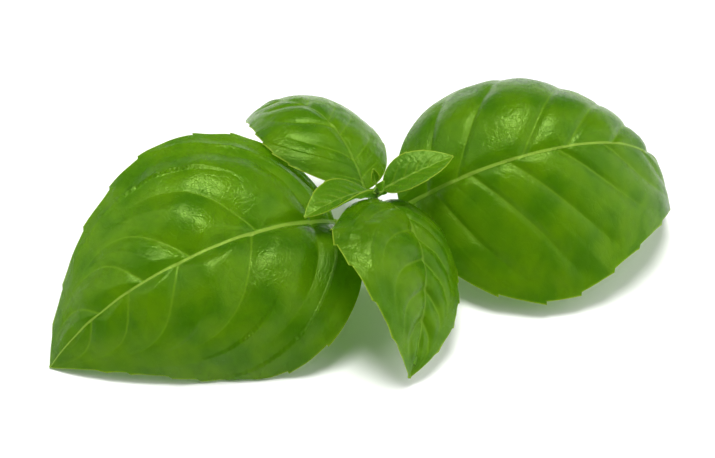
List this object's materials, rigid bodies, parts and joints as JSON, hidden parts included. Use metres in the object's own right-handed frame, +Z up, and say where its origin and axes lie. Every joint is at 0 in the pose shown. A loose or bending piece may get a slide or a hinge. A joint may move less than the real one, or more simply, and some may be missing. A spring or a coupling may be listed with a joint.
{
  "type": "basil sprig",
  "caption": "Cut tip of a sweet basil shoot lying on its leaves: broad glossy leaves in crossed opposite pairs on a short square stem.",
  "frame": {"origin": "on the surface that the sprig lies on, below the middle of its bounding box", "axes": "+X from the left large leaf towards the right large leaf, +Y away from the front middle leaf, +Z up"},
  "size_m": [0.1282, 0.0684, 0.0323],
  "materials": {
    "leaf_green": "semi-gloss living leaf, waxy upper side",
    "young_leaf_green": "satin young leaf",
    "stem_green": "satin soft green stem"
  },
  "bodies": {
    "root": {"stem": "stem_green", "large_leaf_left": "leaf_green", "large_leaf_right": "leaf_green", "middle_leaf_front": "leaf_green", "middle_leaf_back": "leaf_green", "small_leaf_left": "young_leaf_green", "small_leaf_right": "young_leaf_green", "bud_leaf_front": "young_leaf_green", "bud_leaf_back": "young_leaf_green"}
  },
  "joints": []
}
